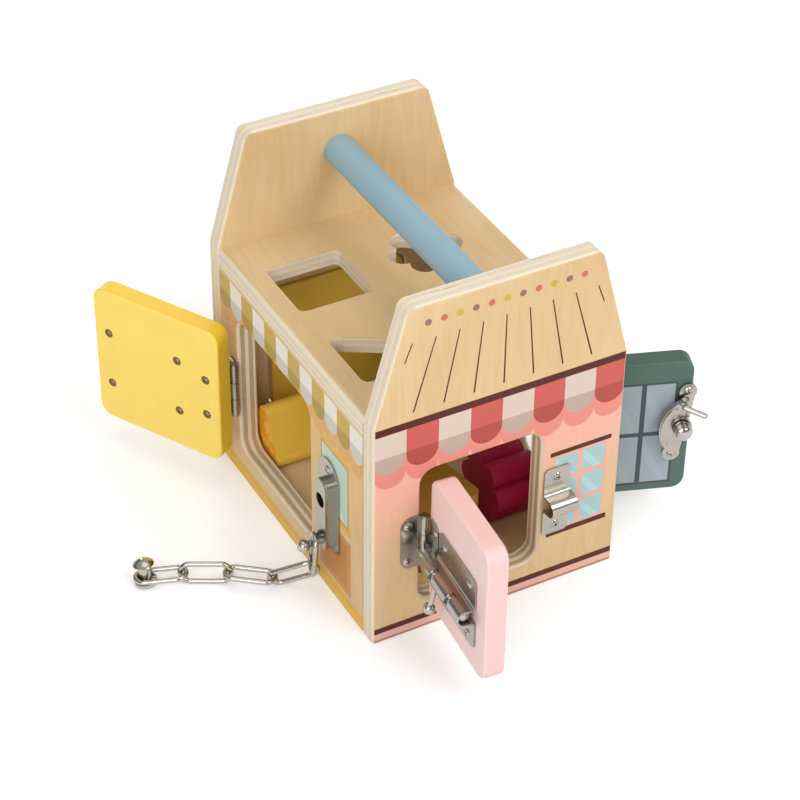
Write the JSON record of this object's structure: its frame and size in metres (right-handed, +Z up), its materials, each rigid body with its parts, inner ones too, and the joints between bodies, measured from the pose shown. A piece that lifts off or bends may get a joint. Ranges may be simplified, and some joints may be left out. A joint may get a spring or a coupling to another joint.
{
  "type": "lock activity house",
  "caption": "Wooden carry house for toddlers with lockable hinged doors, a slide bolt, door chain, crescent lock and hook, and a shape-sorter top over loose blocks.",
  "frame": {"origin": "middle of the footprint of the house on the ground", "axes": "+Z up, front gable faces -Y, +X to the right seen from the front"},
  "size_m": [0.306, 0.3082, 0.213],
  "materials": {
    "plywood": "bare sanded plywood with printed faces",
    "blue_paint": "satin paint",
    "pink_paint": "satin paint",
    "yellow_paint": "satin paint",
    "green_paint": "satin paint",
    "mustard_paint": "satin paint",
    "block_yellow": "satin paint",
    "block_ochre": "satin paint",
    "block_crimson": "satin paint",
    "block_blue": "satin paint",
    "nickel_plate": "bright nickel-plated pressed steel",
    "polished_nickel": "polished nickel-plated wire and turned steel"
  },
  "bodies": {
    "house": {"front_gable": "plywood", "back_gable": "plywood", "left_wall": "plywood", "right_wall": "plywood", "top_plate": "plywood", "floor_panel": "plywood", "carry_handle": "blue_paint", "front_frame_leaf": "nickel_plate", "left_frame_leaf": "nickel_plate", "right_frame_leaf": "nickel_plate", "back_frame_leaf": "nickel_plate", "front_hinge_pin": "nickel_plate", "left_hinge_pin": "nickel_plate", "right_hinge_pin": "nickel_plate", "back_hinge_pin": "nickel_plate", "frame_leaf_screws": "nickel_plate", "bolt_keeper": "nickel_plate", "bolt_keeper_screws": "nickel_plate", "chain_anchor": "nickel_plate", "chain_anchor_screws": "nickel_plate", "chain_stud": "polished_nickel", "sash_keeper": "nickel_plate", "sash_keeper_screws": "nickel_plate", "hook_stud": "polished_nickel"},
    "front_door": {"front_door": "pink_paint", "front_door_leaf": "nickel_plate", "front_leaf_screws": "nickel_plate", "bolt_barrel": "nickel_plate", "bolt_barrel_screws": "nickel_plate"},
    "bolt_rod": {"bolt_rod": "nickel_plate"},
    "bolt_knob": {"bolt_knob": "polished_nickel"},
    "left_door": {"left_door": "yellow_paint", "left_door_leaf": "nickel_plate", "left_leaf_screws": "nickel_plate", "chain_track": "nickel_plate", "chain_track_screws": "nickel_plate"},
    "right_door": {"right_door": "green_paint", "right_door_leaf": "nickel_plate", "right_leaf_screws": "nickel_plate", "sash_base": "nickel_plate", "sash_base_screws": "nickel_plate", "sash_pivot": "nickel_plate"},
    "sash_cam": {"sash_cam": "nickel_plate", "sash_lever": "nickel_plate"},
    "back_door": {"back_door": "mustard_paint", "back_door_leaf": "nickel_plate", "back_leaf_screws": "nickel_plate", "hook_eye": "polished_nickel"},
    "hook": {"hook": "polished_nickel"},
    "chain_link_1": {"chain_link_1": "polished_nickel"},
    "chain_link_2": {"chain_link_2": "polished_nickel"},
    "chain_link_3": {"chain_link_3": "polished_nickel"},
    "chain_link_4": {"chain_link_4": "polished_nickel"},
    "chain_link_5": {"chain_link_5": "polished_nickel"},
    "chain_button": {"chain_button": "polished_nickel"},
    "triangle_block": {"triangle_block": "block_yellow"},
    "square_block": {"square_block": "block_ochre"},
    "flower_block": {"flower_block": "block_crimson"},
    "round_block": {"round_block": "block_blue"}
  },
  "joints": [
    {"name": "front_door_hinge", "type": "hinge", "parent": "house", "child": "front_door", "pos_m": [-0.0462, -0.1004, 0.0635], "axis": [0, 0, -1], "range_deg": [-95, 25]},
    {"name": "bolt_slide", "type": "slide", "parent": "front_door", "child": "bolt_rod", "axis": [-0.0872, -0.9962, 0], "range_m": [0, 0.02]},
    {"name": "bolt_turn", "type": "hinge", "parent": "bolt_rod", "child": "bolt_knob", "pos_m": [-0.05138, -0.12404, 0.0585], "axis": [0.0872, 0.9962, 0], "range_deg": [0, 150]},
    {"name": "left_door_hinge", "type": "hinge", "parent": "house", "child": "left_door", "pos_m": [-0.0779, 0.0637, 0.0635], "axis": [0, 0, -1], "range_deg": [-151, 9]},
    {"name": "right_door_hinge", "type": "hinge", "parent": "house", "child": "right_door", "pos_m": [0.0779, -0.0637, 0.0635], "axis": [0, 0, -1], "range_deg": [-110, 30]},
    {"name": "sash_turn", "type": "hinge", "parent": "right_door", "child": "sash_cam", "pos_m": [0.12511, -0.08312, 0.0655], "axis": [-0.342, -0.9397, 0], "range_deg": [0, 180]},
    {"name": "back_door_hinge", "type": "hinge", "parent": "house", "child": "back_door", "pos_m": [0.0417, 0.1004, 0.0635], "axis": [0, 0, -1], "range_deg": [0, 165]},
    {"name": "hook_turn", "type": "hinge", "parent": "house", "child": "hook", "pos_m": [-0.062, 0.0993, 0.072], "axis": [0, 1, 0], "range_deg": [0, 270]},
    {"name": "chain_swing_1", "type": "hinge", "parent": "house", "child": "chain_link_1", "pos_m": [-0.0844, -0.048, 0.038], "axis": [1, 0, 0], "range_deg": [-20, 20]},
    {"name": "chain_swing_2", "type": "hinge", "parent": "chain_link_1", "child": "chain_link_2", "pos_m": [-0.08386, -0.04223, 0.01478], "axis": [0.2932, 0.8338, 0.4677], "range_deg": [-8, 15]},
    {"name": "chain_swing_3", "type": "hinge", "parent": "chain_link_2", "child": "chain_link_3", "pos_m": [-0.10346, -0.03025, 0.00681], "axis": [0.1483, 0.2247, -0.9631], "range_deg": [-15, 15]},
    {"name": "chain_swing_4", "type": "hinge", "parent": "chain_link_3", "child": "chain_link_4", "pos_m": [-0.12354, -0.01604, 0.00731], "axis": [-0.4839, -0.8693, 0.1012], "range_deg": [-3, 12]},
    {"name": "chain_swing_5", "type": "hinge", "parent": "chain_link_4", "child": "chain_link_5", "pos_m": [-0.14511, -0.00416, 0.00645], "axis": [0.0168, -0.168, -0.9857], "range_deg": [-15, 15]},
    {"name": "button_spin", "type": "hinge", "parent": "chain_link_5", "child": "chain_button", "pos_m": [-0.1624, 0.00391, 0.00478], "axis": [-0.0493, 0.1, 0.9938], "continuous": true},
    {"name": "triangle_block_lift", "type": "slide", "parent": "house", "child": "triangle_block", "axis": [0, 0, 1], "range_m": [0, 0.07]},
    {"name": "square_block_lift", "type": "slide", "parent": "house", "child": "square_block", "axis": [0, 0, 1], "range_m": [0, 0.07]},
    {"name": "flower_block_lift", "type": "slide", "parent": "house", "child": "flower_block", "axis": [0, 0, 1], "range_m": [0, 0.07]},
    {"name": "round_block_lift", "type": "slide", "parent": "house", "child": "round_block", "axis": [0, 0, 1], "range_m": [0, 0.07]}
  ]
}
